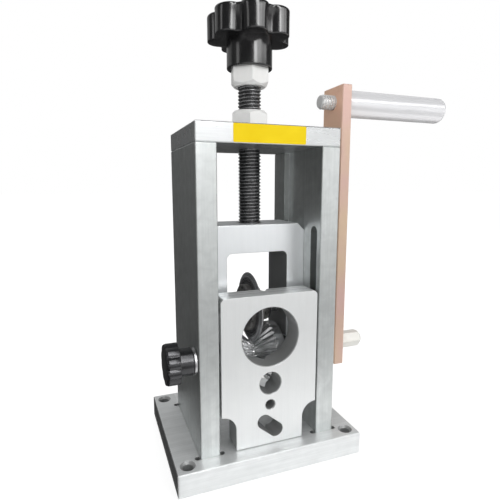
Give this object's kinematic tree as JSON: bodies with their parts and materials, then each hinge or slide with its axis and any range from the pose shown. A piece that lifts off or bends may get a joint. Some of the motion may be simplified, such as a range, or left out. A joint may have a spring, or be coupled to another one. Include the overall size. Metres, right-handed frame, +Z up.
{
  "type": "wire stripping machine",
  "caption": "Hand-cranked bench machine that feeds cable with a toothed V roller past a round knife on a screw-adjusted fork, with a sliding guide plate in front.",
  "frame": {"origin": "middle of the base plate's underside, centred between the four mounting holes", "axes": "+Z up along the pressure screw, +X to the crank's side, +Y to the back, where the cable comes out"},
  "size_m": [0.1794, 0.08, 0.2375],
  "materials": {
    "base_plate": "brushed, satin, with fine machining marks",
    "side_plate_left": "brushed, satin, with fine machining marks",
    "side_plate_right": "brushed, satin, with fine machining marks",
    "top_bar": "brushed, satin, with fine machining marks",
    "base_screws": "black oxide",
    "bar_screws": "black oxide",
    "shaft_bush_left": "turned bronze",
    "shaft_bush_right": "turned bronze",
    "guide_plate": "fine milled, satin",
    "guide_keys": "ground",
    "key_screws": "black oxide",
    "lock_knob": "black, fluted, satin",
    "lock_knob_screw": "bright zinc",
    "carriage": "fine milled, satin",
    "knife_axle": "ground",
    "axle_clips": "phosphated spring steel",
    "axle_set_screws": "black oxide",
    "thrust_washer": "bronze, plain",
    "round_knife": "hardened, ground bevel",
    "knife_flange_left": "black oxide",
    "knife_flange_right": "black oxide",
    "flange_screws": "black oxide",
    "hub_bush": "bronze, plain",
    "drive_shaft": "turned, slightly yellow",
    "feed_roller": "hardened and polished",
    "roller_key": "bright drawn key steel",
    "shaft_collars": "turned",
    "crank_arm": "colour zinc, coppery pink",
    "arm_set_screw": "black oxide",
    "handle_bolt": "zinc plated",
    "handle_sleeve": "bright plated",
    "pressure_screw": "black oxide",
    "star_knob": "glossy black",
    "knob_insert": "zinc plated",
    "jam_nut": "bright zinc",
    "end_washer": "zinc plated",
    "end_clip": "phosphated spring steel",
    "lock_nut": "bright zinc"
  },
  "bodies": {
    "frame": {"base_plate": "base_plate", "side_plate_left": "side_plate_left", "side_plate_right": "side_plate_right", "top_bar": "top_bar", "base_screws": "base_screws", "bar_screws": "bar_screws", "shaft_bush_left": "shaft_bush_left", "shaft_bush_right": "shaft_bush_right"},
    "guide": {"guide_plate": "guide_plate", "guide_keys": "guide_keys", "key_screws": "key_screws"},
    "clamp": {"lock_knob": "lock_knob", "lock_knob_screw": "lock_knob_screw"},
    "fork": {"carriage": "carriage", "knife_axle": "knife_axle", "axle_clips": "axle_clips", "axle_set_screws": "axle_set_screws", "thrust_washer": "thrust_washer"},
    "knife": {"round_knife": "round_knife", "knife_flange_left": "knife_flange_left", "knife_flange_right": "knife_flange_right", "flange_screws": "flange_screws", "hub_bush": "hub_bush"},
    "drive": {"drive_shaft": "drive_shaft", "feed_roller": "feed_roller", "roller_key": "roller_key", "shaft_collars": "shaft_collars", "crank_arm": "crank_arm", "arm_set_screw": "arm_set_screw", "handle_bolt": "handle_bolt"},
    "handle": {"handle_sleeve": "handle_sleeve"},
    "spindle": {"pressure_screw": "pressure_screw", "star_knob": "star_knob", "knob_insert": "knob_insert", "jam_nut": "jam_nut", "end_washer": "end_washer", "end_clip": "end_clip"},
    "check_nut": {"lock_nut": "lock_nut"}
  },
  "joints": [
    {"name": "crank_turn", "type": "hinge", "parent": "frame", "child": "drive", "pos_m": [0, -0.0013, 0.05], "axis": [1, 0, 0], "continuous": true},
    {"name": "handle_turn", "type": "hinge", "parent": "drive", "child": "handle", "pos_m": [0.09, -0.0013, 0.1915], "axis": [1, 0, 0], "continuous": true},
    {"name": "fork_slide", "type": "slide", "parent": "frame", "child": "fork", "axis": [0, 0, 1], "range_m": [0, 0.035]},
    {"name": "screw_turn", "type": "hinge", "parent": "fork", "child": "spindle", "pos_m": [0, -0.0013, 0.2], "axis": [0, 0, 1], "range_deg": [0, 7200]},
    {"name": "knife_turn", "type": "hinge", "parent": "fork", "child": "knife", "pos_m": [0, -0.0013, 0.0775], "axis": [1, 0, 0], "continuous": true},
    {"name": "guide_slide", "type": "slide", "parent": "frame", "child": "guide", "axis": [0, 0, 1], "range_m": [0, 0.04]},
    {"name": "clamp_turn", "type": "hinge", "parent": "frame", "child": "clamp", "pos_m": [-0.045, -0.0248, 0.0605], "axis": [1, 0, 0], "range_deg": [-30, 360]},
    {"name": "check_nut_turn", "type": "hinge", "parent": "frame", "child": "check_nut", "pos_m": [0, -0.0013, 0.1787], "axis": [0, 0, 1], "range_deg": [0, 360]}
  ],
  "couplings": [
    {"joint": "screw_turn", "follows": "fork_slide", "rad_per_m": 3590.4}
  ]
}
